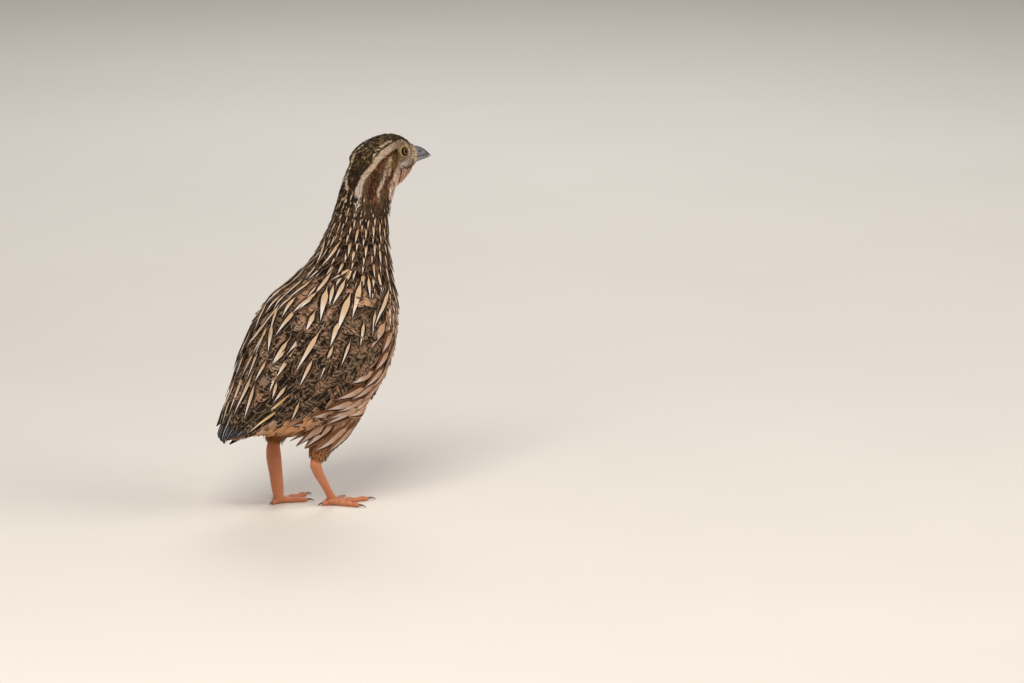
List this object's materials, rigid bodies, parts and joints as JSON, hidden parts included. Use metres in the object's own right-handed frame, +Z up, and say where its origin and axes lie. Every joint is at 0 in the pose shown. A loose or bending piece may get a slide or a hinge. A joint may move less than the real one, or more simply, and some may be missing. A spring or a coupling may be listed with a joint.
{
  "type": "coturnix quail",
  "caption": "Life-size still model of a coturnix quail in mid-stride with its neck stretched up, folded wings with feather vanes, a short tail and flat-soled feet.",
  "frame": {"origin": "on the floor under the middle of the bird's outline seen from above", "axes": "+X where the body is heading, +Y the bird's left, +Z up"},
  "size_m": [0.1182, 0.0666, 0.164],
  "materials": {
    "plumage": "soft feathers, brown with cream shaft streaks and black bars",
    "flight_feathers": "firm feathers, grey-brown barred with buff and streaked with cream",
    "bill_horn": "satin slate-grey horn",
    "eye": "wet gloss, olive-brown iris and black pupil",
    "leg_skin": "pinkish scaled skin",
    "claw_horn": "satin brown horn"
  },
  "bodies": {
    "root": {"head": "plumage", "neck": "plumage", "torso": "plumage", "tail": "flight_feathers", "wing_left": "flight_feathers", "wing_right": "flight_feathers", "bill_upper": "bill_horn", "bill_lower": "bill_horn", "eye_left": "eye", "eye_right": "eye", "thigh_left": "plumage", "thigh_right": "plumage", "tarsus_left": "leg_skin", "tarsus_right": "leg_skin", "foot_left": "leg_skin", "foot_right": "leg_skin", "claw_left_1": "claw_horn", "claw_left_2": "claw_horn", "claw_left_3": "claw_horn", "claw_left_4": "claw_horn", "claw_right_1": "claw_horn", "claw_right_2": "claw_horn", "claw_right_3": "claw_horn", "claw_right_4": "claw_horn"}
  },
  "joints": []
}
